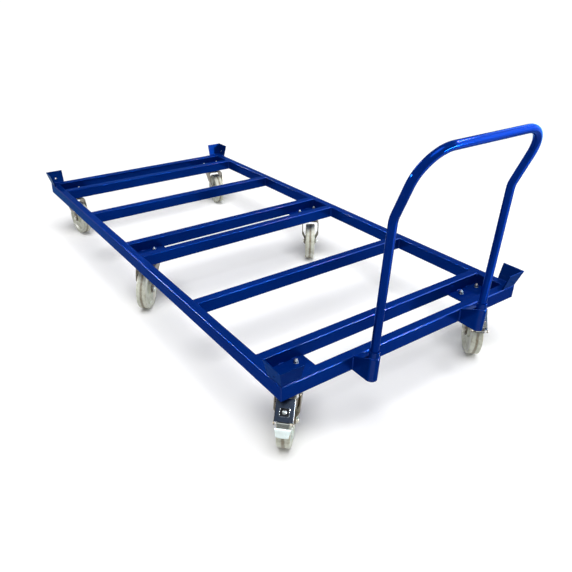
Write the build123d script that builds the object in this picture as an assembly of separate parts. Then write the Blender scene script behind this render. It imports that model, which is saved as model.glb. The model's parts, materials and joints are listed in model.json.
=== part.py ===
from build123d import *
from math import atan2, cos, degrees, hypot, radians, sin
import os

# Long platform dolly: welded box-section frame, six swivel castors, plug-in push handle.
# Millimetres, +Z up, floor at Z = 0. X runs along the frame, the handle is at the +X end.

# Frame
frame_length = 2500.0
frame_width = 1250.0
frame_corner = 6.0
rail_width = 40.0
rail_height = 60.0
rail_wall = 3.0
rail_corner = 5.0
cross_beam_x = 598.0
bay_length = 125.0

# Castor mounting plates, welded into the bays
mount_plate_length = 180.0
mount_plate_thickness = 8.0
castor_inset = 77.5
rear_castor_inset = 66.0
rear_castor_shift = 14.0
mid_bay_x = -18.0

# Corner guides
guide_inset = 2.5
guide_length = 79.0
guide_height = 70.0
guide_lean = 19.5
guide_thickness = 5.0
guide_hole_radius = 4.5
guide_hole_along = 31.5
guide_hole_up = 26.0

# Handle sockets
socket_spacing = 576.0
socket_reach = 70.0
socket_tilt = 1.7
socket_height = 118.0
socket_wall = 3.5
socket_floor = 5.0
socket_drain_radius = 5.0
bracket_wall = 4.0
bracket_height = 93.0
bracket_cap_gap = 7.0

# Push handle
handle_tube = 30.0
handle_wall = 2.5
handle_play = 0.5
handle_kink_height = 600.0
handle_kink_lean = 19.3
handle_kink_radius = 90.0
handle_upper = 240.0
handle_bend_radius = 115.0

# Castors
castor_height = 245.0
castor_trail = 65.0
top_plate_x = 110.0
top_plate_y = 140.0
top_plate_thickness = 6.0
top_plate_corner = 10.0
bolt_spacing_x = 75.0
bolt_spacing_y = 105.0
bolt_radius = 5.0
bolt_hole_radius = 5.5
bolt_head_flats = 17.0
bolt_head_height = 6.4
bolt_end = 6.0
bolt_root_radius = 4.2
nut_height = 8.0
nut_chamfer = 1.0
washer_radius = 10.0
washer_thickness = 2.0
kingpin_radius = 8.0
kingpin_nut_flats = 24.0
kingpin_nut_height = 9.0
running_gap = 0.05
swivel_gap = 1.0
ball_circle = 27.0
ball_radius = 3.4
ball_play = 0.3
upper_cup_radius = 40.0
upper_cup_height = 11.0
lower_cup_radius = 38.0
lower_cup_height = 7.0
crown_radius = 41.0
fork_wall = 4.0
fork_bend = 14.0
fork_crown_width = 94.0
fork_shoulder = 30.0
fork_front = 40.0
fork_back = 58.0
fork_skirt = 30.0
fork_boss_wrap = 10.0
axle_boss_radius = 20.0

# Wheels and axles
tread_gap = 16.0
wheel_width = 50.0
wheel_shoulder = 6.0
rim_depth = 18.0
rim_slant = 8.0
rim_chamfer = 2.0
web_thickness = 30.0
hub_radius = 27.0
hub_length = 53.0
hub_slant = 2.0
hub_gap = 0.5
bearing_radius = 15.0
sleeve_radius = 10.0
axle_radius = 6.0
axle_flats = 19.0
axle_head_height = 7.0
axle_nut_height = 7.0
axle_end = 2.0
axle_washer_radius = 13.0
axle_washer_thickness = 2.5

# Brakes of the two front castors
brake_gap = 15.0
brake_slope = 45.0
brake_above = 60.0
brake_below = 20.0
brake_wall = 3.0
brake_bend = 4.0
arm_reach_low = 4.0
arm_low = 52.0
arm_end = 12.0
arm_end_low = 34.0
arm_end_high = 16.0
rivet_radius = 4.0
rivet_drop = 23.0
rivet_spacing = 30.0
rivet_head_radius = 7.0
rivet_head_height = 2.5
arm_splay_gap = 5.0
window_width = 30.0
window_length = 27.0
window_offset = 12.7
window_lip_width = 2.0
window_lip_height = 0.8
leaf_width = 50.0
leaf_end_gap = 4.0
leaf_thickness = 3.0
screw_radius = 8.4
screw_rim = 2.0
screw_dome = 4.5
hinge_drop = 5.5
hinge_out = 1.5
hinge_pin_radius = 2.5
hinge_barrel_radius = 4.5
hinge_barrel_length = 46.0
hinge_ear_radius = 7.0
cam_gap = 0.4
cam_width = 36.0
pedal_pressed = -68.0
pedal_travel = 160.0
pedal_neck = 17.0
pedal_neck_width = 40.0
pedal_tip = 47.0
pedal_top_width = 58.0
pedal_tip_width = 44.0
pedal_tip_bulge = 3.0
pedal_bow = 4.0
pedal_thickness = 3.0

# Castors: row, side of the frame along Y, swivel angle, brake, pedal lift
castors = {
    "front_left": ("front", -1, -45.0, True, 0.0),
    "front_right": ("front", 1, -42.0, True, pedal_travel),
    "mid_left": ("mid", -1, -41.0, False, 0.0),
    "mid_right": ("mid", 1, -38.0, False, 0.0),
    "rear_left": ("rear", -1, 5.0, False, 0.0),
    "rear_right": ("rear", 1, -12.0, False, 0.0),
}

# Worked-out places
deck_bottom = castor_height
deck_top = castor_height + rail_height
half_length = frame_length / 2
half_width = frame_width / 2
inner_half_width = half_width - rail_width
end_bay_x = half_length - rail_width - bay_length / 2
rear_castor_y = inner_half_width - rear_castor_inset
# each row of castors: middle of its bay, castors' place along X, distance from the frame's middle line
castor_rows = {
    "front": (end_bay_x, end_bay_x, inner_half_width - castor_inset),
    "mid": (mid_bay_x, mid_bay_x, rear_castor_y),
    "rear": (-end_bay_x, -end_bay_x - rear_castor_shift, rear_castor_y),
}
socket_x = half_length + socket_reach
socket_y = socket_spacing / 2
socket_bore = handle_tube / 2 + handle_play
socket_radius = socket_bore + socket_wall
bracket_radius = socket_radius + bracket_wall
grip_x = handle_upper * sin(radians(handle_kink_lean))
grip_z = handle_kink_height + handle_upper * cos(radians(handle_kink_lean))
crown_top = castor_height - top_plate_thickness - upper_cup_height - swivel_gap - lower_cup_height
wheel_radius = (crown_top - fork_wall - tread_gap) / 2
fork_gap = hub_length + 2 * hub_gap
fork_outer = fork_gap + 2 * fork_wall
brake_outer = fork_outer + 2 * brake_wall

to_socket = Pos(socket_x, 0, deck_bottom) * Rot(0, socket_tilt, 0)

nodes = {}


def add(node, *shapes):
    nodes[node] = [solid for shape in shapes for solid in shape.solids()]


def ring(outer, inner, low, high):
    # upright tube between two heights
    return Pos(0, 0, (low + high) / 2) * (Cylinder(outer, high - low) - Cylinder(inner, high - low))


def disc(radius, low, high):
    return Pos(0, 0, (low + high) / 2) * Cylinder(radius, high - low)


def hexagon(flats, low, high):
    blank = RegularPolygon(flats / 2, 6, major_radius=False)
    return Pos(0, 0, low) * extrude(blank, amount=high - low)


def nut_blank(flats, low, high):
    # hexagon with its corners turned off at both ends
    corner = flats / 3**0.5
    turned_off = Pos(0, 0, (low + high) / 2) * Cylinder(corner, high - low)
    return hexagon(flats, low, high) & chamfer(turned_off.edges().filter_by(GeomType.CIRCLE), nut_chamfer)


def prism(points, half):
    # side view (along the castor, up) carried to both sides of its middle plane
    side = make_face(Polyline(*points, close=True))
    return extrude(Plane.XZ * side, amount=half, both=True)


# Frame beams
def beam(length):
    outside = RectangleRounded(rail_width, rail_height, rail_corner)
    inner_width, inner_height = rail_width - 2 * rail_wall, rail_height - 2 * rail_wall
    inside = RectangleRounded(inner_width, inner_height, rail_corner - rail_wall)
    return extrude(Plane.YZ * (outside - inside), amount=length / 2, both=True)


def mitred(length, offset):
    # one side of the outer frame, its ends cut at 45 degrees
    reach = length / 2
    edge = offset + rail_width / 2
    corners = [(-reach, edge), (reach, edge), (reach - rail_width, edge - rail_width)]
    corners.append((rail_width - reach, edge - rail_width))
    outline = make_face(Polyline(*corners, close=True))
    return Pos(0, offset, 0) * beam(length) & extrude(outline, amount=rail_height, both=True)


deck_middle = Pos(0, 0, deck_bottom + rail_height / 2)
outer_edge = RectangleRounded(frame_length, frame_width, frame_corner)
outer_block = extrude(outer_edge, amount=rail_height, both=True)
rail = mitred(frame_length, half_width - rail_width / 2)
end_beam = mitred(frame_width, half_length - rail_width / 2)
add("side_rail_right", deck_middle * (rail & outer_block))
add("side_rail_left", deck_middle * (Rot(0, 0, 180) * rail & outer_block))
add("end_beam_front", deck_middle * (Rot(0, 0, -90) * end_beam & outer_block))
add("end_beam_rear", deck_middle * (Rot(0, 0, 90) * end_beam & outer_block))

bay_edge = bay_length / 2 + rail_width / 2
cross_beams = {
    "inner_beam_front": end_bay_x - bay_edge,
    "inner_beam_rear": bay_edge - end_bay_x,
    "cross_beam_front": cross_beam_x,
    "cross_beam_rear": -cross_beam_x,
    "mid_beam_front": mid_bay_x + bay_edge,
    "mid_beam_rear": mid_bay_x - bay_edge,
}
crossing = Rot(0, 0, 90) * beam(2 * inner_half_width)
for node, place in cross_beams.items():
    add(node, deck_middle * Pos(place, 0, 0) * crossing)


# Corner guides: one angle of two plates that flare as they rise, turned to each corner
def guide():
    # outer corner at the origin, one plate along -X with a hole, the other along +Y
    def angle_outline(lean, height):
        near = lean - guide_thickness
        corners = [(-guide_length, -lean), (lean, -lean), (lean, guide_length)]
        corners += [(near, guide_length), (near, -near), (-guide_length, -near)]
        return make_face(Polyline(*[(x, y, height) for x, y in corners], close=True))

    plates = loft([angle_outline(0, 0), angle_outline(guide_lean, guide_height)], ruled=True)
    lean_angle = atan2(guide_lean, guide_height)
    centre = (-guide_hole_along, -guide_lean * guide_hole_up / guide_height, guide_hole_up)
    drill = Plane(origin=centre, z_dir=(0, -cos(lean_angle), -sin(lean_angle)))
    return plates - drill * Cylinder(guide_hole_radius, 4 * guide_thickness)


guide_corners = {
    "front_left": (1, -1, 0.0),
    "front_right": (1, 1, 90.0),
    "rear_right": (-1, 1, 180.0),
    "rear_left": (-1, -1, 270.0),
}
corner_x, corner_y = half_length - guide_inset, half_width - guide_inset
for corner, (side_x, side_y, angle) in guide_corners.items():
    to_corner = Pos(side_x * corner_x, side_y * corner_y, deck_top) * Rot(0, 0, angle)
    add(f"corner_guide_{corner}", to_corner * guide())


# Handle sockets: a stub tube held in a bent plate on the outside of the end beam
def bracket():
    def edge_height(x):
        # the top edge falls from the nose to the top of the end beam
        return bracket_height + x * (bracket_height - rail_height) / socket_reach

    reach = socket_reach + bracket_radius
    outer = Circle(bracket_radius) + Pos(-reach / 2, 0) * Rectangle(reach, 2 * bracket_radius)
    inner = Circle(socket_radius) + Pos(-reach / 2, 0) * Rectangle(reach, 2 * socket_radius)
    bent = extrude(outer - inner, amount=bracket_height)
    above = [(0, bracket_height), (-reach, bracket_height), (-reach, edge_height(-reach))]
    near = -socket_radius - bracket_cap_gap
    cap = [(near, edge_height(near)), (-reach, edge_height(-reach))]
    cap += [(x, height - bracket_wall) for x, height in reversed(cap)]
    return bent - prism(above, 2 * bracket_radius) + prism(cap, socket_radius)


def socket_tube():
    tube = ring(socket_radius, socket_bore, 0, socket_height)
    return tube + ring(socket_bore, socket_drain_radius, 0, socket_floor)


behind = 4 * socket_reach
end_face = Pos(half_length - behind / 2, 0, deck_top) * Box(behind, frame_width, behind)
for side, side_y in (("left", -1), ("right", 1)):
    across = Pos(0, side_y * socket_y, 0)
    add(f"socket_bracket_{side}", to_socket * across * bracket() - end_face)
    add(f"socket_tube_{side}", to_socket * across * socket_tube())


# Push handle: one bent tube standing on the floors of both sockets
def push_handle():
    foot = (0, -socket_y, socket_floor)
    kink = (0, -socket_y, handle_kink_height)
    top = (grip_x, -socket_y, grip_z)
    mirrored = [(x, -y, z) for x, y, z in (top, kink, foot)]
    bends = [handle_kink_radius, handle_bend_radius, handle_bend_radius, handle_kink_radius]
    path = FilletPolyline(foot, kink, top, *mirrored, radius=bends)
    section = Circle(handle_tube / 2) - Circle(handle_tube / 2 - handle_wall)
    return sweep(Plane(origin=foot, z_dir=(0, 0, 1)) * section, path=path)


add("push_handle", to_socket * push_handle())

# Castor parts about the swivel axis, wheel trailing along +X
swivel_level = crown_top + lower_cup_height + swivel_gap / 2
plate_bottom = castor_height - top_plate_thickness
plate_holes = GridLocations(bolt_spacing_x, bolt_spacing_y, 2, 2)
hole_row = [spot * Cylinder(bolt_hole_radius, 4 * mount_plate_thickness) for spot in plate_holes]


def ball_ring(radius):
    return ring(ball_circle + radius, ball_circle - radius, swivel_level - radius, swivel_level + radius)


ball_groove = ball_ring(ball_radius + ball_play)


def top_plate():
    outline = RectangleRounded(top_plate_x, top_plate_y, top_plate_corner)
    plate = Pos(0, 0, plate_bottom) * extrude(outline, amount=top_plate_thickness)
    plate += disc(upper_cup_radius, plate_bottom - upper_cup_height, plate_bottom)
    plate -= [Pos(0, 0, plate_bottom) * hole for hole in hole_row]
    return plate - ball_groove - disc(kingpin_radius, 0, castor_height)


def kingpin():
    nut_top = crown_top - fork_wall - swivel_gap / 2
    nut = hexagon(kingpin_nut_flats, nut_top - kingpin_nut_height, nut_top)
    return nut + disc(kingpin_radius, nut_top, castor_height)


def fork_front_view(inset):
    # legs close together at the axle, wider above it, under a bent crown
    foot, crown = fork_outer / 2 - inset, fork_crown_width / 2 - inset
    low = wheel_radius + axle_boss_radius
    high = low + fork_shoulder
    right = [(foot, 0), (foot, low), (crown, high), (crown, crown_top - inset)]
    left = [(-y, z) for y, z in reversed(right)]
    outline = make_face(Polyline(*right, *left, close=True))
    outline = fillet(outline.vertices().group_by(Axis.Y)[-1], fork_bend - inset)
    return extrude(Plane.YZ * outline, amount=2 * wheel_radius, both=True)


def fork(braked):
    wrap = radians(180 + fork_boss_wrap)
    boss_back = (castor_trail + axle_boss_radius, wheel_radius)
    boss_low = (castor_trail, wheel_radius - axle_boss_radius)
    boss_front = (castor_trail + axle_boss_radius * cos(wrap), wheel_radius + axle_boss_radius * sin(wrap))
    skirt = (-fork_front, crown_top - fork_skirt)
    edges = [Line((-fork_front, crown_top), (fork_back, crown_top))]
    edges.append(TangentArc(boss_back, (fork_back, crown_top), tangent=(0, 1)))
    edges.append(ThreePointArc(boss_back, boss_low, boss_front))
    edges.append(TangentArc(boss_front, skirt, tangent=(sin(wrap), -cos(wrap))))
    edges.append(Line(skirt, (-fork_front, crown_top)))
    side = extrude(Plane.XZ * make_face(edges), amount=fork_crown_width, both=True)
    legs = (fork_front_view(0) & side) - fork_front_view(fork_wall)
    head = disc(crown_radius, crown_top - fork_wall, crown_top)
    head += disc(lower_cup_radius, crown_top, crown_top + lower_cup_height)
    legs = legs + head - ball_groove - disc(kingpin_radius + running_gap, 0, castor_height)
    if braked:
        legs -= [at_arm(along, Cylinder(rivet_radius, 2 * fork_crown_width)) for along in rivets]
    return legs - at_axle(Cylinder(axle_radius, 2 * fork_outer))


def at_axle(shape):
    # turns an upright shape onto the wheel axle, upwards becoming +Y
    return Pos(castor_trail, 0, wheel_radius) * Rot(-90, 0, 0) * shape


def axle():
    face = fork_outer / 2
    washer = face + axle_washer_thickness
    bolt = nut_blank(axle_flats, -washer - axle_head_height, -washer)
    bolt += disc(axle_radius, -washer, washer + axle_nut_height + axle_end)
    nut = nut_blank(axle_flats, washer, washer + axle_nut_height) - disc(axle_radius, 0, 2 * washer)
    washers = [ring(axle_washer_radius, axle_radius, face, washer)]
    washers.append(ring(axle_washer_radius, axle_radius, -washer, -face))
    sleeve = ring(sleeve_radius, axle_radius, -fork_gap / 2, fork_gap / 2)
    return Compound(children=[at_axle(piece) for piece in (bolt, nut, *washers, sleeve)])


def wheel():
    half = wheel_width / 2
    rim = wheel_radius - rim_depth
    web = web_thickness / 2
    upper = [(bearing_radius, hub_length / 2), (hub_radius, hub_length / 2), (hub_radius + hub_slant, web)]
    upper += [(rim - rim_slant, web), (rim - rim_chamfer, half - rim_chamfer), (rim, half)]
    upper.append((wheel_radius - wheel_shoulder, half))
    lower = [(r, -h) for r, h in reversed(upper)]
    bulge = wheel_shoulder * (1 - cos(radians(45)))
    tread = half - wheel_shoulder
    shoulder = ThreePointArc(upper[-1], (wheel_radius - bulge, half - bulge), (wheel_radius, tread))
    other = ThreePointArc((wheel_radius, -tread), (wheel_radius - bulge, bulge - half), lower[0])
    outline = [Polyline(*upper), shoulder, Line(shoulder @ 1, other @ 0), other, Polyline(*lower)]
    outline.append(Line(lower[-1], upper[0]))
    return at_axle(revolve(Plane.XZ * make_face(outline), Axis.Z))


def wheel_bearing():
    half = hub_length / 2
    return at_axle(ring(bearing_radius, sleeve_radius + running_gap, -half, half))


# Brake pieces, placed on the sloping face that stands off the tread
slope = radians(brake_slope)
face_reach = wheel_radius + brake_gap
face_middle = (castor_trail + face_reach * cos(slope), wheel_radius + face_reach * sin(slope))
to_face = Pos(face_middle[0], 0, face_middle[1]) * Rot(0, 90 - brake_slope, 0)


def on_face(along, out):
    # a point of the side view: along the face upwards, and out from it
    x = face_middle[0] - along * sin(slope) + out * cos(slope)
    return (x, face_middle[1] + along * cos(slope) + out * sin(slope))


hinge = on_face(-brake_below - hinge_drop, hinge_out - brake_wall)
to_hinge = Pos(hinge[0], 0, hinge[1])
rivets = [fork_back - arm_end, fork_back - arm_end - rivet_spacing]


def at_arm(along, shape):
    # lays an upright shape across the fork, under its crown
    return Pos(along, 0, crown_top - rivet_drop) * Rot(-90, 0, 0) * shape


def turned(shape):
    # lays an upright shape along the hinge axis
    return to_hinge * Rot(90, 0, 0) * shape


splay_start = fork_back + arm_splay_gap
splay_end = on_face(brake_above, 0)[0] - arm_splay_gap


def housing_plan(inset):
    # seen from above: narrow at the face, its arms splayed to lie inside the fork legs
    wide, narrow = fork_crown_width / 2 - fork_wall - inset, brake_outer / 2 - inset
    far = 3 * wheel_radius
    right = [(-far, wide), (splay_start, wide), (splay_end, narrow), (far, narrow)]
    left = [(x, -y) for x, y in reversed(right)]
    return extrude(make_face(Polyline(*right, *left, close=True)), amount=castor_height)


def brake_housing():
    top, low = on_face(brake_above, 0), on_face(-brake_below, 0)
    leg_low = (castor_trail - arm_reach_low, crown_top - arm_low)
    end = rivets[-1] - arm_end
    arm_top = crown_top - arm_end_high
    arm = [(end, crown_top - arm_end_low), (end, arm_top), (splay_start, arm_top)]
    inside = on_face(-brake_below, -3 * brake_wall)
    heel = on_face(brake_above, -4 * brake_wall)
    side = prism([top, low, inside, leg_low, *arm, heel], fork_crown_width) & housing_plan(0)
    lengthways = side.edges().filter_by(lambda edge: abs(edge.tangent_at(0.5).Y) < 0.1)
    outermost = lengthways.sort_by(lambda edge: edge.center().X * cos(slope) + edge.center().Z * sin(slope))
    side = fillet(outermost[-2:], brake_bend)
    depth = 3 * wheel_radius
    behind_face = to_face * Pos(0, 0, -brake_wall - depth / 2) * Box(2 * depth, depth, depth)
    room = housing_plan(brake_wall) & behind_face
    to_window = to_face * Pos(-window_offset, 0, 0)
    lip_length, lip_width = window_length + 2 * window_lip_width, window_width + 2 * window_lip_width
    lip = to_window * Box(lip_length, lip_width, 2 * window_lip_height)
    window = to_window * Box(window_length, window_width, 4 * brake_wall)
    ears = turned(Cylinder(hinge_ear_radius, brake_outer)) + prism([low, inside, hinge], brake_outer / 2)
    gap = turned(Cylinder(2 * hinge_ear_radius, fork_outer))
    shell = side - room + (ears - gap) + lip - window - turned(Cylinder(hinge_pin_radius, 2 * brake_outer))
    shell -= [at_arm(along, Cylinder(rivet_radius, 2 * fork_crown_width)) for along in rivets]
    return Compound(children=[shell, *[rivet(along, side) for along in rivets for side in (-1, 1)]])


def rivet(along, side):
    # headed pin that holds an arm of the housing to its fork leg
    outside = fork_crown_width / 2
    within = outside - fork_wall - brake_wall
    pin = disc(rivet_radius, within, outside)
    pin += disc(rivet_head_radius, outside, outside + rivet_head_height)
    pin += disc(rivet_head_radius, within - rivet_head_height, within)
    return at_arm(along, Rot(90 - 90 * side, 0, 0) * pin)


def brake_leaf():
    length = brake_above + brake_below - 2 * leaf_end_gap
    middle = (brake_below - brake_above) / 2
    level = -brake_wall - leaf_thickness / 2
    return to_face * Pos(middle, 0, level) * Box(length, leaf_width, leaf_thickness)


def brake_screw():
    # domed cap: a rim with the top of a larger ball on it
    ball = (screw_radius**2 + screw_dome**2) / (2 * screw_dome)
    dome = Pos(0, 0, screw_rim + screw_dome - ball) * Sphere(ball)
    cap = disc(screw_radius, 0, screw_rim + screw_dome) & dome
    return to_face * Pos(-window_offset, 0, -brake_wall) * cap


def hinge_pin():
    return turned(Cylinder(hinge_pin_radius, brake_outer + 2 * hinge_pin_radius))


def brake_pedal(lift):
    # drawn pointing along +X from the hinge, then turned to where the pedal stands
    def pad_arc(level):
        middle = ((pedal_neck + pedal_tip) / 2, level + pedal_bow)
        return ThreePointArc((pedal_neck, level), middle, (pedal_tip + pedal_tip_bulge, level))

    upper, under = pad_arc(pedal_thickness / 2), pad_arc(-pedal_thickness / 2)
    ends = [Line(upper @ 1, under @ 1), Line(under @ 0, upper @ 0)]
    bowed = extrude(Plane.XZ * make_face([upper, under, *ends]), amount=pedal_top_width, both=True)
    right, left = (pedal_tip, pedal_tip_width / 2), (pedal_tip, -pedal_tip_width / 2)
    tip = ThreePointArc(right, (pedal_tip + pedal_tip_bulge, 0), left)
    back = Polyline(left, (pedal_neck, -pedal_top_width / 2), (pedal_neck, pedal_top_width / 2), right)
    pad = bowed & extrude(make_face([tip, back]), amount=pedal_tip, both=True)
    reach = pedal_neck + pedal_thickness
    neck = Pos(reach / 2, 0, 0) * Box(reach, pedal_neck_width, pedal_thickness)
    barrel = Rot(90, 0, 0) * Cylinder(hinge_barrel_radius, hinge_barrel_length)
    to_wheel = degrees(atan2(wheel_radius - hinge[1], castor_trail - hinge[0]))
    reach_to_tread = hypot(hinge[0] - castor_trail, hinge[1] - wheel_radius) - wheel_radius - cam_gap
    nose = reach_to_tread - hinge_barrel_radius
    lobe = Pos(nose / 2, 0) * SlotCenterToCenter(nose, 2 * hinge_barrel_radius)
    cam = Rot(0, pedal_pressed - to_wheel, 0) * extrude(Plane.XZ * lobe, amount=cam_width / 2, both=True)
    body = pad + neck + barrel + cam
    body -= Rot(90, 0, 0) * Cylinder(hinge_pin_radius + running_gap, 2 * brake_outer)
    return to_hinge * Rot(0, -pedal_pressed - lift, 0) * body


# Parts of one kind that stay with the frame are gathered into one node each
plates, pins, balls, mounts, bolts, nuts = [], [], [], [], [], []
nut_low = deck_bottom + mount_plate_thickness + washer_thickness
nut_top = nut_low + nut_height
bolt = hexagon(bolt_head_flats, plate_bottom - bolt_head_height, plate_bottom)
bolt += disc(bolt_radius, plate_bottom, nut_top) + disc(bolt_root_radius, nut_top, nut_top + bolt_end)
nut = nut_blank(bolt_head_flats, nut_low, nut_top) - disc(bolt_radius, 0, 2 * nut_low)
washer = ring(washer_radius, bolt_radius, nut_low - washer_thickness, nut_low)
for place, (row, side_y, angle, braked, lift) in castors.items():
    bay_x, castor_x, castor_y = castor_rows[row]
    spot = Pos(castor_x, side_y * castor_y, 0)
    turn = spot * Rot(0, 0, angle)
    plates.append(spot * top_plate())
    pins.append(spot * kingpin())
    balls.append(spot * ball_ring(ball_radius))
    plate = Box(bay_length, mount_plate_length, mount_plate_thickness)
    plate_y = side_y * (inner_half_width - mount_plate_length / 2)
    plate = Pos(bay_x, plate_y, 0) * plate - [spot * hole for hole in hole_row]
    mounts.append(Pos(0, 0, deck_bottom + mount_plate_thickness / 2) * plate)
    for hole in plate_holes:
        bolts.append(spot * hole * bolt)
        nuts.append(spot * hole * nut)
        nuts.append(spot * hole * washer)
    add(f"castor_fork_{place}", turn * fork(braked))
    add(f"castor_axle_{place}", turn * axle())
    add(f"castor_wheel_{place}", turn * wheel())
    add(f"wheel_bearing_{place}", turn * wheel_bearing())
    if braked:
        add(f"brake_housing_{place}", turn * brake_housing())
        add(f"brake_leaf_{place}", turn * brake_leaf())
        add(f"brake_screw_{place}", turn * brake_screw())
        add(f"brake_hinge_pin_{place}", turn * hinge_pin())
        add(f"brake_pedal_{place}", turn * brake_pedal(lift))

add("castor_top_plates", *plates)
add("castor_kingpins", *pins)
add("swivel_ball_rings", *balls)
add("castor_mount_plates", *mounts)
add("castor_bolts", *bolts)
add("castor_nuts", *nuts)

# The part's origin is on the floor under the middle of its box
boxes = [solid.bounding_box() for solids in nodes.values() for solid in solids]
middle_x = (min(box.min.X for box in boxes) + max(box.max.X for box in boxes)) / 2
middle_y = (min(box.min.Y for box in boxes) + max(box.max.Y for box in boxes)) / 2

os.makedirs("parts", exist_ok=True)
for node, solids in nodes.items():
    placed = [Pos(-middle_x, -middle_y, 0) * solid for solid in solids]
    shape = placed[0] if len(placed) == 1 else Compound(children=placed)
    export_step(shape, f"parts/{node}.step")
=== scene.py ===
import json
import math

import bpy
import numpy as np
from mathutils import Matrix, Vector


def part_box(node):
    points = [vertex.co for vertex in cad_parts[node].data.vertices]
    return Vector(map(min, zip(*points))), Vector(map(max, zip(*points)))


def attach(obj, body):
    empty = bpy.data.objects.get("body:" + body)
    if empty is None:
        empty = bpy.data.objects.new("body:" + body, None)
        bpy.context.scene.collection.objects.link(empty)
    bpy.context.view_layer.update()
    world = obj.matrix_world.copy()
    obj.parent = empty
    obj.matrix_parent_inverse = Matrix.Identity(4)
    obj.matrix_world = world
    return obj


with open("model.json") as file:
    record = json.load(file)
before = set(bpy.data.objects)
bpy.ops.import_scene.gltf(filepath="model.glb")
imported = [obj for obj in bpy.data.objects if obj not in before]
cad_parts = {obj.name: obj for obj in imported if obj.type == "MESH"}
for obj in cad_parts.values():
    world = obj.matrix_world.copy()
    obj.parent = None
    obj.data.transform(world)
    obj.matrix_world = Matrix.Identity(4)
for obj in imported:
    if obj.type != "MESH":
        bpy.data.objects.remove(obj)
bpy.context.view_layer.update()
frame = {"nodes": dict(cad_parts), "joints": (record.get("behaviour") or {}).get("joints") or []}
nodes = frame["nodes"]
mm = 0.001
joints = {joint["name"]: joint for joint in frame["joints"]}
places = sorted(name[len("roll_"):] for name in joints if name.startswith("roll_"))
print("frame loaded:", len(nodes), "nodes")


# shader maths: a Wire is one socket, and sums of Wires add Math nodes
class Wire:
    def __init__(self, tree, socket=None):
        self.tree, self.socket = tree, socket

    def node(self, kind, settings=None, links=None, out=0):
        # one node: its settings first, then a number or a Wire for each socket
        made = self.tree.nodes.new(kind)
        for key, value in (settings or {}).items():
            setattr(made, key, value)
        for key, value in (links or {}).items():
            if isinstance(value, Wire):
                self.tree.links.new(value.socket, made.inputs[key])
            else:
                made.inputs[key].default_value = value
        return Wire(self.tree, made.outputs[out])

    def maths(self, operation, first, second=0.0):
        return self.node("ShaderNodeMath", {"operation": operation}, {0: first, 1: second})

    def __add__(self, other):
        return self.maths("ADD", self, other)

    def __radd__(self, other):
        return self.maths("ADD", other, self)

    def __sub__(self, other):
        return self.maths("SUBTRACT", self, other)

    def __rsub__(self, other):
        return self.maths("SUBTRACT", other, self)

    def __mul__(self, other):
        return self.maths("MULTIPLY", self, other)

    def __rmul__(self, other):
        return self.maths("MULTIPLY", other, self)

    def __truediv__(self, other):
        return self.maths("DIVIDE", self, other)

    def __rtruediv__(self, other):
        return self.maths("DIVIDE", other, self)

    def __pow__(self, other):
        return self.maths("POWER", self, other)

    def __rpow__(self, other):
        return self.maths("POWER", other, self)

    def size(self):
        return self.maths("ABSOLUTE", self)

    def most(self, other):
        # the larger of two values
        return self.maths("MAXIMUM", self, other)

    def step(self, low, high):
        # 0 below low, 1 above high, smooth between
        links = {"Value": self, "From Min": low, "From Max": high}
        return self.node("ShaderNodeMapRange", {"interpolation_type": "SMOOTHSTEP"}, links)

    def span(self, low, high):
        # carries 0..1 to low..high
        return self * (high - low) + low

    def noise(self, scale, detail=2.0, roughness=0.5, distortion=0.0):
        links = {"Vector": self, "Scale": scale, "Detail": detail,
                 "Roughness": roughness, "Distortion": distortion}
        return self.node("ShaderNodeTexNoise", None, links)

    def stretched(self, scale, turn):
        # this place turned, and scaled by another number along each axis
        links = {"Vector": self, "Scale": scale, "Rotation": turn}
        return self.node("ShaderNodeMapping", None, links)

    def split(self, axis):
        return self.node("ShaderNodeSeparateXYZ", None, {0: self}, axis)

    def away(self, point):
        # the vector from a point to this place
        return self.node("ShaderNodeVectorMath", {"operation": "SUBTRACT"}, {0: self, 1: point})

    def dot(self, other):
        links = {0: self, 1: other}
        return self.node("ShaderNodeVectorMath", {"operation": "DOT_PRODUCT"}, links, "Value")

    def length(self):
        return self.node("ShaderNodeVectorMath", {"operation": "LENGTH"}, {0: self}, "Value")

    def mix(self, first, second):
        # colours first and second, blended by this value
        links = {"Factor": self, 6: first, 7: second}
        return self.node("ShaderNodeMix", {"data_type": "RGBA"}, links, 2)


def colour(red, green, blue):
    # a colour as seen, 0..255, turned to the linear values that shaders use
    seen = np.array([red, green, blue]) / 255
    linear = np.where(seen <= 0.04045, seen / 12.92, ((seen + 0.055) / 1.055) ** 2.4)
    return (*map(float, linear), 1.0)


def newMaterial(name, fixed, build):
    # fixed holds the sockets that are the same all over; build wires the rest
    material = bpy.data.materials.new(name)
    material.use_nodes = True
    tree = material.node_tree
    shader = tree.nodes["Principled BSDF"]
    for socket, value in fixed.items():
        shader.inputs[socket].default_value = value
    place = Wire(tree).node("ShaderNodeTexCoord", None, None, "Object")
    for socket, wire in build(place).items():
        tree.links.new(wire.socket, shader.inputs[socket])
    return material


def bumped(height, distance, strength, normal=None):
    # a normal that follows height, on top of another normal where one is given
    links = {"Height": height, "Distance": distance, "Strength": strength}
    if normal is not None:
        links["Normal"] = normal
    return height.node("ShaderNodeBump", None, links)


edgeLook = {"samples": 6, "turn": (0.01, 0.12)}


def edgeMask(place, radius):
    # 1 on a sharp edge: how far a normal rounded over this radius turns from the face's own
    rounded = place.node("ShaderNodeBevel", {"samples": edgeLook["samples"]}, {"Radius": radius})
    own = place.node("ShaderNodeNewGeometry", None, None, "Normal")
    return rounded, (1 - rounded.dot(own)).step(*edgeLook["turn"])


def axisReach(place, point, axis):
    # distance from an axis line, and distance along it from a point on it
    away = place.away(point)
    across = away.dot(axis)
    return (away.length() ** 2.0 - across ** 2.0) ** 0.5, across


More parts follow.
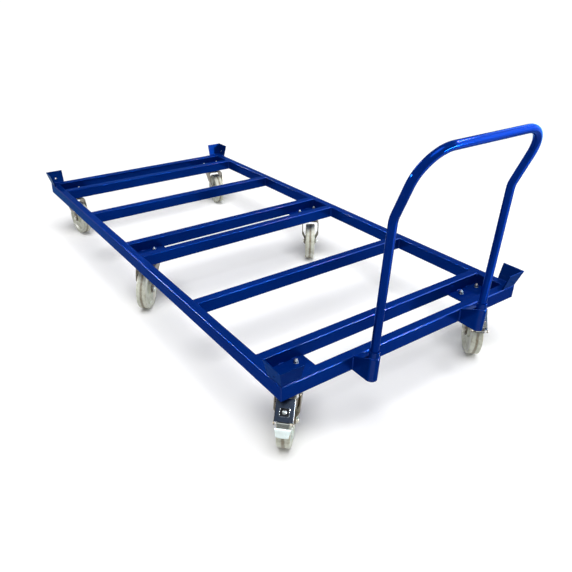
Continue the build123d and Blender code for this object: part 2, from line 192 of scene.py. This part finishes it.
paintLook = {
    "base": colour(0, 42, 122),
    "deep": colour(0, 36, 109),
    "driftScale": 2.6,
    "driftSpan": (0.35, 0.7),
    "cloudScale": 38.0,
    "dust": colour(96, 116, 152),
    "dustFacing": (0.6, 0.95),  # upward part of the normal
    "dustSpan": (0.48, 0.72),
    "dustShare": 0.04,
    "scratchScale": (12.0, 420.0, 160.0),
    "scratchTurn": (0.2, 0.5, 0.7),
    "scratchSpan": (0.73, 0.76),
    "scratchShare": 0.10,
    "chip": colour(70, 74, 82),
    "chipScale": 95.0,
    "chipSpan": (0.66, 0.69),
    "chipShare": 0.7,
    "chipRough": 0.25,
    "chipDepth": 2.0,
    "edge": 1.6 * mm,
    "peelScale": 420.0,
    "peelDepth": 0.04 * mm,
    "peelStrength": 0.55,
    "roughness": (0.10, 0.19),
    "metal": 0.32,
    "shine": (0.25, 0.55, 1.0, 1.0),
    "coat": (0.07, 0.9),  # on flat faces, on round edges
    "coatSpan": (0.06, 0.15),
    "coatRough": 0.05,
    "coatIndex": 1.2,
}


def paintMaterial(name, look):
    # gloss powder coat: orange peel, slow tone drift, a little dust on top faces, chips on edges,
    # fine scratches, and a thicker clear skin where a tube's edge is round, where no part of the
    # normal is near 1
    def build(place):
        drift = place.noise(look["driftScale"], detail=3.0).step(*look["driftSpan"])
        cloud = place.noise(look["cloudScale"], detail=4.0, roughness=0.6)
        rounded, edge = edgeMask(place, look["edge"])
        facing = place.node("ShaderNodeNewGeometry", None, None, "Normal")
        faceX, faceY, faceZ = (facing.split(axis) for axis in "XYZ")
        flat = faceX.size().most(faceY.size()).most(faceZ.size())
        skin = (1 - flat).step(*look["coatSpan"]).span(*look["coat"])
        upward = faceZ.step(*look["dustFacing"])
        dust = upward * cloud.step(*look["dustSpan"]) * look["dustShare"]
        lines = place.stretched(look["scratchScale"], look["scratchTurn"]).noise(1.0, detail=1.0)
        scratch = lines.step(*look["scratchSpan"]) * look["scratchShare"]
        flakes = place.noise(look["chipScale"], detail=3.0, roughness=0.6)
        chip = edge * flakes.step(*look["chipSpan"])
        tone = drift.mix(look["deep"], look["base"])
        dusty = dust.mix(tone, look["dust"])
        scratched = scratch.mix(dusty, look["dust"])
        worn = (chip * look["chipShare"]).mix(scratched, look["chip"])
        rough = cloud.span(*look["roughness"]) + dust + chip * look["chipRough"] + scratch
        height = place.noise(look["peelScale"], detail=1.0) - chip * look["chipDepth"]
        return {"Base Color": worn, "Roughness": rough, "Coat Weight": skin * (1 - chip),
                "Normal": bumped(height, look["peelDepth"], look["peelStrength"], rounded)}

    fixed = {"Metallic": look["metal"], "Specular Tint": look["shine"], "Specular IOR Level": 0.0,
             "Coat Roughness": look["coatRough"], "Coat IOR": look["coatIndex"]}
    return newMaterial(name, fixed, build)


zincLook = {
    "cool": colour(190, 195, 200),
    "warm": colour(184, 172, 150),
    "patchScale": 16.0,
    "patchSpan": (0.38, 0.66),
    "fineScale": 150.0,
    "rolledScale": (60.0, 900.0, 900.0),
    "rolledTurn": (0.0, 0.0, 0.8),
    "rolledRough": 0.06,
    "grime": colour(78, 68, 54),
    "grimeScale": 30.0,
    "grimeFine": 0.25,
    "grimeSpan": (0.52, 0.68),
    "grimeShare": 0.45,
    "grimeRough": 0.25,
    "grimeDull": 0.5,
    # a painted highlight along sharp edges: its noise span and share
    "rimSpan": (0.35, 0.6),
    "rimShare": 0.6,
    "edge": 1.2 * mm,
    "roughness": (0.16, 0.34),
    "markDepth": 0.03 * mm,
    "markStrength": 0.5,
}


def zincMaterial(name, look, axis=None, sheet=None):
    # bright zinc plate: cool and straw-yellow patches, rolling marks, brown grime in patches,
    # another tone near or far from an axis, and another on the flat sheet that a point and a
    # normal give
    def build(place):
        patch = place.noise(look["patchScale"], detail=4.0, roughness=0.62, distortion=0.4)
        fine = place.noise(look["fineScale"], detail=3.0, roughness=0.6)
        rolled = place.stretched(look["rolledScale"], look["rolledTurn"]).noise(1.0, detail=2.0)
        rounded, edge = edgeMask(place, look["edge"])
        broad = place.noise(look["grimeScale"], detail=5.0, roughness=0.7)
        soil = broad * (1 - look["grimeFine"]) + fine * look["grimeFine"]
        grime = soil.step(*look["grimeSpan"]) * look["grimeShare"]
        tone = patch.step(*look["patchSpan"]).mix(look["cool"], look["warm"])
        if axis is not None:
            beyond = axisReach(place, *axis)[0].step(*look["turnsAt"])
            tone = beyond.mix(look["near"] or tone, look["far"] or tone)
        # a darker tone on the flat sheet: a painted dark reflection on the brake housing's front
        # face
        if sheet is not None:
            point, normal = sheet
            onSheet = 1 - place.away(point).dot(normal).size().step(*look["faceDepth"])
            face = patch.step(*look["faceSpan"]).mix(look["faceCool"], look["faceWarm"])
            tone = onSheet.mix(tone, face)
        grimy = grime.mix(tone, look["grime"])
        # sharp edges lightened toward a pale colour: a painted highlight
        rim = edge * fine.step(*look["rimSpan"]) * look["rimShare"]
        bright = rim.mix(grimy, look.get("rim", look["cool"]))
        rough = patch.span(*look["roughness"]) + grime * look["grimeRough"]
        marks = rolled * 0.5 + fine * 0.5
        return {"Base Color": bright, "Roughness": rough + rolled * look["rolledRough"],
                "Metallic": 1 - grime * look["grimeDull"],
                "Normal": bumped(marks, look["markDepth"], look["markStrength"], rounded)}

    return newMaterial(name, {}, build)


nylonLook = {
    "base": colour(231, 233, 217),
    "shade": colour(201, 203, 184),
    "toneSpan": (0.35, 0.7),
    "smearScale": 24.0,
    "treadDepth": (8 * mm, 2 * mm),  # the tread fades in between these depths under its skin
    "dirt": colour(116, 98, 64),
    "seam": 5.5 * mm,
    "seamSpan": (0.5, 1.6),
    "seamSmear": (0.3, 1.15),
    "wander": 5 * mm,
    "wanderScale": 55.0,
    "scuff": colour(148, 143, 124),
    "scuffScale": 70.0,
    "scuffSpan": (0.5, 0.7),
    "scuffShare": 0.35,
    "scuffRough": 0.15,
    "ringAt": 0.74,  # share of the radius
    "ringWidth": 9 * mm,
    "ringFade": (0.3, 1.0),
    "ringSpan": (0.45, 0.7),
    "ringShare": 0.35,
    "stain": colour(176, 160, 122),
    "stainFrom": (14 * mm, 23 * mm),  # from the wheel's middle
    "stainSpan": (0.4, 0.75),
    "stainShare": 0.6,
    "roughness": (0.34, 0.52),
    "grainScale": 190.0,
    "grainDepth": 0.12 * mm,
    "grainStrength": 0.35,
    "glow": 0.12,
    "glowReach": (4 * mm, 4 * mm, 3 * mm),
}


def nylonMaterial(name, look, hub, axle, radius):
    # cast nylon wheel: a dirty seam round the middle of the tread, scuffs and stained edges on
    # the tread, clean recessed sides with one faint ring
    def build(place):
        reach, across = axisReach(place, hub, axle)
        tread = reach.step(*(radius - depth for depth in look["treadDepth"]))
        smear = place.noise(look["smearScale"], detail=5.0, roughness=0.65)
        wander = (place.noise(look["wanderScale"], detail=3.0) - 0.5) * look["wander"]
        seam = 1 - ((across + wander).size() / look["seam"]).step(*look["seamSpan"])
        dirt = tread * seam * smear.span(*look["seamSmear"])
        rubbed = place.noise(look["scuffScale"], detail=5.0, roughness=0.7)
        scuff = tread * rubbed.step(*look["scuffSpan"]) * look["scuffShare"]
        fromRing = (reach - radius * look["ringAt"]).size() / look["ringWidth"]
        ring = 1 - fromRing.step(*look["ringFade"])
        ring = ring * smear.step(*look["ringSpan"]) * look["ringShare"]
        edges = tread * across.size().step(*look["stainFrom"])
        edges = edges * smear.step(*look["stainSpan"]) * look["stainShare"]
        tone = smear.step(*look["toneSpan"]).mix(look["base"], look["shade"])
        scuffed = (scuff + ring).mix(tone, look["scuff"])
        dirty = dirt.mix(edges.mix(scuffed, look["stain"]), look["dirt"])
        rough = smear.span(*look["roughness"]) + scuff * look["scuffRough"]
        grain = place.noise(look["grainScale"], detail=3.0)
        return {"Base Color": dirty, "Roughness": rough,
                "Normal": bumped(grain, look["grainDepth"], look["grainStrength"])}

    fixed = {"Subsurface Weight": look["glow"], "Subsurface Radius": look["glowReach"]}
    return newMaterial(name, fixed, build)


# one material for each finish: the look above, with what differs
paints = {
    "bluePaint": {},
    "weldPaint": {"edge": 0.4 * mm, "coat": (0.2, 0.6)},
    "handlePaint": {"base": colour(0, 41, 126), "deep": colour(0, 36, 113), "metal": 0.42,
                    "coat": (0.12, 0.12), "roughness": (0.06, 0.11)},
    # the corner guides get a darker copy of the paint, as painted shade on their plates
    "guidePaint": {"base": colour(0, 37, 104), "deep": colour(0, 32, 92)},
}
zincs = {
    "zincPlate": {},
    # the forks get a darker, browner copy of the zinc: painted shade from the deck above and a
    # painted brown reflection
    "forkZinc": {"cool": colour(124, 118, 106), "warm": colour(98, 86, 66),
                 "rim": colour(196, 194, 184), "grimeShare": 0.5},
    # the brake leaf is near black, as painted shade inside the housing's window
    "leafSteel": {"cool": colour(34, 36, 40), "warm": colour(26, 26, 28),
                  "roughness": (0.35, 0.5)},
    "brightZinc": {"cool": colour(222, 228, 230), "warm": colour(214, 216, 212),
                   "grimeShare": 0.10},
    "nutZinc": {"cool": colour(140, 148, 156), "warm": colour(112, 114, 112),
                "rim": colour(214, 220, 222), "grimeShare": 0.35},
    "bearingSteel": {"cool": colour(120, 120, 122), "grimeShare": 0.8},
    "capSteel": {"cool": colour(158, 166, 168), "warm": colour(132, 134, 130),
                 "roughness": (0.22, 0.36), "grimeShare": 0.25},
}
finish = {name: paintMaterial(name, {**paintLook, **own}) for name, own in paints.items()}
finish.update({name: zincMaterial(name, {**zincLook, **own}) for name, own in zincs.items()})

# finishes that follow a joint, so each castor has its own
# the housings' brownish tones are a painted brown reflection, and their front face a painted dark
# reflection
reflectedHousingSteel = {**zincLook, "cool": colour(150, 146, 134), "warm": colour(112, 100, 82),
                "rim": colour(212, 218, 216), "roughness": (0.12, 0.22), "grimeShare": 0.2,
                "faceCool": colour(52, 61, 76), "faceWarm": colour(40, 48, 62),
                "faceSpan": (0.3, 0.7), "faceOut": 1.5 * mm, "faceDepth": (0.9 * mm, 1.4 * mm)}
# the left pedals are bright, a painted reflection of light from above; the right pedals get a
# darker copy, as painted shade
litPad = {**zincLook, "cool": colour(226, 240, 240), "warm": colour(216, 228, 226),
            "grimeShare": 0.10, "turnsAt": (15 * mm, 18 * mm),
            "near": colour(112, 116, 112), "far": None}
shadedPad = {**litPad, "cool": colour(120, 124, 124), "warm": colour(98, 98, 92),
           "near": colour(92, 94, 92), "grimeShare": 0.35}
axleSteel = {**zincLook, "cool": colour(220, 222, 218), "warm": colour(204, 200, 186),
             "grimeShare": 0.2, "turnsAt": (10.4 * mm, 11.2 * mm),
             "near": None, "far": colour(84, 78, 68)}

# how a node's name starts, and its finish; the first that fits is taken
finishOf = {
    "push_handle": "handlePaint",
    "corner_guide": "guidePaint",
    "side_rail": "bluePaint",
    "end_beam": "bluePaint",
    "inner_beam": "bluePaint",
    "cross_beam": "bluePaint",
    "mid_beam": "bluePaint",
    "castor_mount": "bluePaint",
    "socket_": "bluePaint",
    "castor_fork": "forkZinc",
    "castor_top": "zincPlate",
    "castor_kingpins": "zincPlate",
    "castor_bolts": "brightZinc",
    "castor_nuts": "nutZinc",
    "brake_leaf": "leafSteel",
    "brake_screw": "capSteel",
    "brake_hinge_pin": "zincPlate",
    "wheel_bearing": "bearingSteel",
    "swivel_ball": "bearingSteel",
}


def dress(node, material):
    nodes[node].data.materials.clear()
    nodes[node].data.materials.append(material)


for node in nodes:
    for start, name in finishOf.items():
        if node.startswith(start):
            dress(node, finish[name])
            break
for place in places:
    roll, swivel = joints["roll_" + place], joints["swivel_" + place]
    hub, axle = tuple(roll["pos_m"]), tuple(roll["axis"])
    low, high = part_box("castor_wheel_" + place)
    radius = (high.z - low.z) / 2
    wheelNylon = nylonMaterial("nylon_" + place, nylonLook, hub, axle, radius)
    dress("castor_wheel_" + place, wheelNylon)
    dress("castor_axle_" + place, zincMaterial("axle_" + place, axleSteel, (hub, axle)))
    if "brake_" + place in joints:
        hinge = joints["brake_" + place]
        pin = (tuple(hinge["pos_m"]), tuple(hinge["axis"]))
        # bright pedals on the left, a painted reflection; darker ones on the right, painted shade
        pad = litPad if place.endswith("left") else shadedPad
        dress("brake_pedal_" + place, zincMaterial("pedal_" + place, pad, pin))
        # the housing's front leans half way between level and upright, away from the swivel
        ahead = Vector(hub) - Vector(swivel["pos_m"])
        outward = (Vector((ahead.x, ahead.y, 0)).normalized() + Vector((0, 0, 1))).normalized()
        point = Vector(hinge["pos_m"]) + outward * reflectedHousingSteel["faceOut"]
        sheet = (tuple(point), tuple(outward))
        housing = zincMaterial("housing_" + place, reflectedHousingSteel, None, sheet)
        dress("brake_housing_" + place, housing)
print("materials on all nodes")


def addObject(name, data):
    made = bpy.data.objects.new(name, data)
    bpy.context.scene.collection.objects.link(made)
    return made


# meshes from grids of points: rows along a run, columns round a closed section
def meshOf(name, grids, material, body):
    points, faces, offset = [], [], 0
    for grid in grids:
        rows, columns = grid.shape[:2]
        index = np.arange(rows * columns).reshape(rows, columns) + offset
        turned = np.roll(index, -1, axis=1)
        quads = np.stack([index[:-1], turned[:-1], turned[1:], index[1:]], axis=-1)
        faces += quads.reshape(-1, 4).tolist() + [index[0][::-1].tolist(), index[-1].tolist()]
        points.append(grid.reshape(-1, 3))
        offset += rows * columns
    mesh = bpy.data.meshes.new(name)
    mesh.from_pydata(np.concatenate(points).tolist(), [], faces)
    mesh.polygons.foreach_set("use_smooth", np.ones(len(mesh.polygons), bool))
    mesh.materials.append(material)
    piece = addObject(name, mesh)
    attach(piece, body)


weldLook = {
    "leg": 5.5 * mm,
    "bulge": 0.24,
    "ripple": 0.05,
    "pitch": 4.2 * mm,
    "lag": 0.55,  # how far a ripple's middle trails its ends, in pitches
    "wobble": ((0.08, 11 * mm, 1), (0.05, 4.3 * mm, 2)),  # share, length, turns of the seed
    "seed": 37.0,
    "endTaper": 5 * mm,
    "endShare": 0.35,
    "root": 0.3 * mm,
    "step": 1.0 * mm,
    "fewestRows": 6,
    "columns": 8,
}


def weldAlong(line, sideA, sideB, leg, look=weldLook):
    # fillet bead: a chord from one face to the other, bowed outwards, rippled along its line,
    # thin at its ends
    line = np.array(line, float)
    sideA, sideB = [np.broadcast_to(np.array(side, float), line.shape) for side in (sideA, sideB)]
    gaps = np.linalg.norm(np.diff(line, axis=0), axis=1)
    along = np.concatenate([[0], np.cumsum(gaps)])[:, None, None]
    length = along[-1, 0, 0]
    across = np.linspace(0, 1, look["columns"])[None, :, None]
    seed = float(np.sum(line[0]) * look["seed"])
    trail = look["lag"] * np.sin(np.pi * across)
    ripple = np.sin(2 * np.pi * (along / look["pitch"] - trail) + seed)
    wobble = 1
    for share, wave, turns in look["wobble"]:
        wobble = wobble + share * np.sin(along / wave + turns * seed)
    ends = np.minimum(along, length - along) / look["endTaper"]
    taper = look["endShare"] + (1 - look["endShare"]) * np.sqrt(np.clip(ends, 0, 1))
    reach = leg * wobble * taper
    bow = reach * (look["bulge"] + look["ripple"] * ripple) * 4 * across * (1 - across)
    outward = ((sideA + sideB) / np.linalg.norm(sideA + sideB, axis=1, keepdims=True))[:, None]
    middle = line[:, None]
    chord = (1 - across) * sideA[:, None] + across * sideB[:, None]
    skin = middle + reach * chord + bow * outward
    root = middle - look["root"] * outward
    grid = np.concatenate([skin, root], axis=1)
    facing = np.dot(np.cross(sideA[0], sideB[0]), line[1] - line[0])
    return grid if facing < 0 else grid[:, ::-1]


def weldRun(start, end, sideA, sideB, leg=weldLook["leg"]):
    # a straight bead from start to end
    start, end = np.array(start, float), np.array(end, float)
    rows = max(weldLook["fewestRows"], int(np.linalg.norm(end - start) / weldLook["step"]))
    share = np.linspace(0, 1, rows)[:, None]
    return weldAlong(start + (end - start) * share, sideA, sideB, leg)


# frame welds: upright beads in the inner corners of every beam, and a fill in the groove of each
# flush top
frameWeld = {
    "inset": 3 * mm,
    "grooveInside": 1.2,  # the groove's sizes are in millimetres
    "grooveDepth": 3.2,
    "grooveTop": 0.35,
    "grooveWidth": 5.2,
    "grooveSpread": 1.3,
}
railLeft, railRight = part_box("side_rail_left"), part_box("side_rail_right")
innerLeft, innerRight = railLeft[1].y, railRight[0].y
deckLow, deckTop = railLeft[0].z, railLeft[1].z
beamKinds = ("inner_beam", "cross_beam", "mid_beam", "end_beam")
beamNames = [node for node in nodes if node.startswith(beamKinds)]
inset, inside, below = (frameWeld[key] for key in ("inset", "grooveInside", "grooveDepth"))
rise = below - frameWeld["grooveTop"]
frameBeads = []
for beam in beamNames:
    low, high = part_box(beam)
    faces = [(low.x, -1), (high.x, 1)]
    if beam == "end_beam_front":
        faces = faces[:1]
    if beam == "end_beam_rear":
        faces = faces[1:]
    for wall, inward in ((innerLeft, 1), (innerRight, -1)):
        for faceX, outX in faces:
            corner = [(faceX, wall, deckLow + inset), (faceX, wall, deckTop - inset)]
            frameBeads.append(weldRun(*corner, (outX, 0, 0), (0, inward, 0)))
        if not beam.startswith("end"):
            rootY, rootZ = wall - inward * inside * mm, deckTop - below * mm
            ends = [(x, rootY, rootZ) for x in (low.x + inset, high.x - inset)]
            onBeam = (0, inward * inside * frameWeld["grooveSpread"], rise)
            onRail = (0, -inward * (frameWeld["grooveWidth"] - inside), rise)
            frameBeads.append(weldRun(*ends, onBeam, onRail, mm))
meshOf("frameWelds", frameBeads, finish["weldPaint"], "frame")

# plate welds: short beads where each castor mounting plate meets its two beams
plateWeld = {"starts": (-70 * mm, -10 * mm, 50 * mm), "length": 26 * mm, "leg": 4.5 * mm}
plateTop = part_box("castor_mount_plates")[1].z
beamBoxes = [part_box(beam) for beam in beamNames]
plateBeads = []
for place in places:
    swivel = joints["swivel_" + place]["pos_m"]
    nearest = sorted(beamBoxes, key=lambda box: abs((box[0].x + box[1].x) / 2 - swivel[0]))
    side = -1 if swivel[1] < 0 else 1
    for low, high in nearest[:2]:
        outX = 1 if high.x < swivel[0] else -1
        faceX = high.x if outX > 0 else low.x
        for offset in plateWeld["starts"]:
            startY = swivel[1] - side * offset
            run = [(faceX, startY, plateTop), (faceX, startY + plateWeld["length"], plateTop)]
            plateBeads.append(weldRun(*run, (outX, 0, 0), (0, 0, 1), plateWeld["leg"]))
meshOf("plateWelds", plateBeads, finish["weldPaint"], "frame")

# socket welds: upright beads beside each bracket on the end beam, one across its cap, and a ring
# round the stub tube
socketWeld = {
    "inset": 4 * mm,
    "leg": 5.0 * mm,
    "capInset": 5 * mm,
    "capDrop": 1.5 * mm,
    "capLeg": 2.6 * mm,
    "capSides": ((0.9, 0, 0.42), (-0.8, 0, 0.6)),
    "tubeReach": 70 * mm,  # from the end beam's face
    "tubeNose": 93 * mm,  # up along the tube
    "tubeRadius": 19 * mm,
    "ringTurn": 100,  # degrees to each side
    "ringRows": 70,
    "ringLeg": 3.2 * mm,
}
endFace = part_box("end_beam_front")[1].x
tubeUp = np.array(joints["handle_lift"]["axis"], float)
tubeAhead = np.array([tubeUp[2], 0, -tubeUp[0]])
inset, capInset = socketWeld["inset"], socketWeld["capInset"]
ringTurn = np.linspace(-socketWeld["ringTurn"], socketWeld["ringTurn"], socketWeld["ringRows"])
ringTurn = np.radians(ringTurn)[:, None]
around = np.cos(ringTurn) * tubeAhead + np.sin(ringTurn) * np.array([0, 1, 0])
socketBeads = []
for side in ("left", "right"):
    low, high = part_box("socket_bracket_" + side)
    for edge, outY in ((low.y, -1), (high.y, 1)):
        run = [(endFace, edge, deckLow + inset), (endFace, edge, deckTop - inset)]
        socketBeads.append(weldRun(*run, (1, 0, 0), (0, outY, 0), socketWeld["leg"]))
    capZ = deckTop - socketWeld["capDrop"]
    cap = [(endFace, low.y + capInset, capZ), (endFace, high.y - capInset, capZ)]
    socketBeads.append(weldRun(*cap, *socketWeld["capSides"], socketWeld["capLeg"]))
    foot = np.array([endFace + socketWeld["tubeReach"], (low.y + high.y) / 2, deckLow])
    ring = foot + tubeUp * socketWeld["tubeNose"] + socketWeld["tubeRadius"] * around
    socketBeads.append(weldAlong(ring, around, tubeUp, socketWeld["ringLeg"]))
meshOf("socketWelds", socketBeads, finish["weldPaint"], "frame")

# guide welds: a bead along the inner foot of each plate, and one that fills the rail's round edge
# under its outer foot
guideWeld = {
    "inset": 2.5 * mm,
    "thickness": 5 * mm,
    "length": 79 * mm,
    "lean": 19.5 / 70,
    "leg": 4 * mm,
    "outerLeg": 2.8 * mm,
    "outerInset": 3 * mm,
    "outerDrop": 0.5 * mm,
    "outerSide": (0.75, -0.66),  # outward and down
}
thickness, plateLength = guideWeld["thickness"], guideWeld["length"]
lean, leg = guideWeld["lean"], guideWeld["leg"]
outerLeg, outerInset = guideWeld["outerLeg"], guideWeld["outerInset"]
outward, down = guideWeld["outerSide"]
under = deckTop - guideWeld["outerDrop"]
guideBeads = []
for end, signX in (("front", 1), ("rear", -1)):
    for side, signY in (("left", -1), ("right", 1)):
        beam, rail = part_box("end_beam_" + end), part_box("side_rail_" + side)
        outX = (beam[1].x if signX > 0 else beam[0].x) - signX * guideWeld["inset"]
        outY = (rail[1].y if signY > 0 else rail[0].y) - signY * guideWeld["inset"]
        upX = Vector((lean * signX, 0, 1)).normalized()
        upY = Vector((0, lean * signY, 1)).normalized()
        inX, inY = outX - signX * thickness, outY - signY * thickness
        farX, farY = outX - signX * plateLength, outY - signY * plateLength
        corner = (inX, inY, deckTop)
        guideBeads.append(weldRun((farX, inY, deckTop), corner, (0, -signY, 0), upY, leg))
        guideBeads.append(weldRun((inX, farY, deckTop), corner, (-signX, 0, 0), upX, leg))
        insetX, insetY = signX * outerInset, signY * outerInset
        outer = [(farX + insetX, outY, under), (outX - insetX, outY, under)]
        guideBeads.append(weldRun(*outer, (0, signY * outward, down), upY, outerLeg))
        outer = [(outX, farY + insetY, under), (outX, outY - insetY, under)]
        guideBeads.append(weldRun(*outer, (signX * outward, 0, down), upX, outerLeg))
meshOf("guideWelds", guideBeads, finish["weldPaint"], "frame")
beadCount = len(frameBeads) + len(plateBeads) + len(socketBeads) + len(guideBeads)
print("welds:", beadCount, "beads")

# bolt threads: radius rises and falls once per pitch, and the crest climbs one pitch per turn
threadLook = {
    "root": 4.1 * mm,
    "crest": 4.95 * mm,
    "undercut": 0.1 * mm,
    "pitch": 1.5 * mm,
    "sharpness": 1.35,
    "fade": 0.9 * mm,
    "overlap": 0.5 * mm,  # down into the nut
    "topGap": 0.25 * mm,
    "rows": 34,
    "columns": 20,
    "spacing": (37.5 * mm, 52.5 * mm),  # half the bolt pattern
}
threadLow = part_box("castor_nuts")[1].z - threadLook["overlap"]
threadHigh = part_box("castor_bolts")[1].z - threadLook["topGap"]
climb = np.linspace(threadLow, threadHigh, threadLook["rows"])[:, None]
spin = np.linspace(0, 2 * np.pi, threadLook["columns"], endpoint=False)[None, :]
share = ((climb - threadLow) / threadLook["pitch"] - spin / (2 * np.pi)) % 1.0
flank = np.clip(threadLook["sharpness"] * (1 - np.abs(2 * share - 1)), 0, 1)
fade = np.clip((threadHigh - climb) / threadLook["fade"], 0, 1)
height = (threadLook["crest"] - threadLook["root"]) * np.minimum(flank, fade)
radius = threadLook["root"] - threadLook["undercut"] + height
boltEnd = np.stack([radius * np.cos(spin), radius * np.sin(spin), climb + 0 * spin], axis=-1)
halfX, halfY = threadLook["spacing"]
threads = []
for place in places:
    centre = np.array(joints["swivel_" + place]["pos_m"][:2] + [0.0])
    for signX in (-1, 1):
        for signY in (-1, 1):
            threads.append(boltEnd + centre + np.array([signX * halfX, signY * halfY, 0.0]))
meshOf("boltThreads", threads, finish["brightZinc"], "frame")
print("threads:", len(threads), "bolt ends")


def shownRays(tree):
    # 1 for rays that show a surface: from the camera, off gloss or through glass
    rays = Wire(tree)
    seen, mirrored, through = (
        rays.node("ShaderNodeLightPath", None, None, f"Is {kind} Ray")
        for kind in ("Camera", "Glossy", "Transmission"))
    return seen.most(mirrored.most(through))


# floor: pale where it is seen, darker in the light it throws back, and it keeps the shadow
floorLook = {
    "size": 400.0,
    "seen": colour(254, 254, 254),
    "bounce": colour(208, 208, 208),
    "lift": 0.05,
    "roughness": 0.9,
    "specular": 0.1,
}
black, white = (0, 0, 0, 1), (1, 1, 1, 1)
floorMesh = bpy.data.meshes.new("floor")
half = floorLook["size"] / 2
corners = [(-half, -half, 0), (half, -half, 0), (half, half, 0), (-half, half, 0)]
floorMesh.from_pydata(corners, [], [(0, 1, 2, 3)])
floor = addObject("floor", floorMesh)
floorMaterial = bpy.data.materials.new("paleFloor")
floorMaterial.use_nodes = True
floorTree = floorMaterial.node_tree
floorInputs = floorTree.nodes["Principled BSDF"].inputs
floorInputs["Roughness"].default_value = floorLook["roughness"]
floorInputs["Specular IOR Level"].default_value = floorLook["specular"]
floorInputs["Emission Strength"].default_value = floorLook["lift"]
shown = shownRays(floorTree)
floorTone = shown.mix(floorLook["bounce"], floorLook["seen"])
floorTree.links.new(shown.mix(black, white).socket, floorInputs["Emission Color"])
floorTree.links.new(floorTone.socket, floorInputs["Base Color"])
floorMesh.materials.append(floorMaterial)

# world: white where it is seen, dim in the light it gives
worldLook = {"light": (0.23, 0.23, 0.23, 1)}
world = bpy.data.worlds.new("studio")
bpy.context.scene.world = world
world.use_nodes = True
worldTree = world.node_tree
worldTone = shownRays(worldTree).mix(worldLook["light"], white)
worldTree.links.new(worldTone.socket, worldTree.nodes["Background"].inputs["Color"])


def turnedTo(direction):
    # a lamp's turn, so that it shines along a direction
    return direction.to_track_quat("-Z", "Y").to_matrix().to_4x4()


# sun: wide and soft, from above and a little to the front left, its angle in degrees
sunLook = {"from": (0.22, -0.16, 1.0), "angle": 42.0, "strength": 2.55}
sunData = bpy.data.lights.new("sky", "SUN")
sunData.energy, sunData.angle = sunLook["strength"], math.radians(sunLook["angle"])
sun = addObject("sky", sunData)
sun.matrix_world = turnedTo(-Vector(sunLook["from"]))

# lamps: one soft box that lights the far side, then a wall, a panel, a glow and strips that show
# only in gloss, as bright lines along tubes and edges
lampLook = {
    "softRight": {"at": (2.6, 3.4, 1.7), "aim": (1.2, 0, 0.5), "size": (3.0, 1.3),
                  "power": 38, "glossOnly": False},
    "wallRight": {"at": (2.0, 2.6, 1.35), "aim": (2.0, 0, 1.35), "size": (4.0, 2.6),
                  "power": 150, "tint": (0.4, 0.8, 1)},
    "stripRight": {"at": (1.81, 2.53, 3.24), "aim": (1.33, -0.18, 1.07), "size": (1.2, 0.14),
                   "power": 90, "tint": (1, 0.42, 0.45)},
    "stripFront": {"at": (3.5, 1.5, 0.95), "aim": (1.2, -0.2, 0.3), "size": (1.3, 0.2),
                   "power": 190},
    "panelRight": {"at": (1.5, 2.6, 2.9), "aim": (1.33, -0.18, 1.07), "size": (3.2, 1.2),
                   "power": 48},
    "glowFront": {"at": (2.62, 1.12, 0.03), "aim": (2.62, 1.12, 1.0), "size": (1.55, 1.75),
                  "power": 28},
    "stripLeft": {"at": (-1.79, -2.52, 1.6), "aim": (0.51, -1.16, 0.3), "size": (2.0, 0.14),
                  "power": 160},
    "stripBack": {"at": (-4.4, -0.4, 2.9), "aim": (0, 0, 0.3), "size": (3.0, 0.10),
                  "power": 60},
}
for name, look in lampLook.items():
    lampData = bpy.data.lights.new(name, "AREA")
    lampData.shape = "RECTANGLE"
    lampData.size, lampData.size_y = look["size"]
    lampData.energy = look["power"]
    lampData.color = look.get("tint", white[:3])
    lamp = addObject(name, lampData)
    lamp.visible_diffuse = not look.get("glossOnly", True)
    lamp.visible_camera = False
    aim = Vector(look["aim"]) - Vector(look["at"])
    lamp.matrix_world = Matrix.Translation(look["at"]) @ turnedTo(aim)

# camera: where it stands from the middle of the frame, how it is turned, and the framing of a
# square picture
cameraLook = {
    "fromMiddle": (2.432168, -1.517427, 1.487969),
    "yaw": 2.5462,  # radians
    "pitch": 0.4874,  # downwards
    "sensor": 36.0,
    "lens": 36.173,
    "shift": (0.0495, -0.0114),
}
yaw, pitch = cameraLook["yaw"], cameraLook["pitch"]
level = math.cos(pitch)
ahead = Vector((level * math.cos(yaw), level * math.sin(yaw), -math.sin(pitch)))
sideways = ahead.cross(Vector((0, 0, 1))).normalized()
upward = sideways.cross(ahead)
cameraTurn = Matrix((sideways, upward, -ahead)).transposed().to_4x4()
middleX, middleY = (railLeft[0].x + railLeft[1].x) / 2, (railLeft[0].y + railRight[1].y) / 2
stand = Vector((middleX, middleY, 0)) + Vector(cameraLook["fromMiddle"])
cameraData = bpy.data.cameras.new("camera")
cameraData.sensor_width = cameraLook["sensor"]
cameraData.lens = cameraLook["lens"]
cameraData.shift_x, cameraData.shift_y = cameraLook["shift"]
camera = addObject("camera", cameraData)
camera.matrix_world = Matrix.Translation(stand) @ cameraTurn
bpy.context.scene.camera = camera
bpy.context.scene.view_settings.view_transform = "Standard"
print("stage, lamps and camera")

bpy.context.view_layer.update()
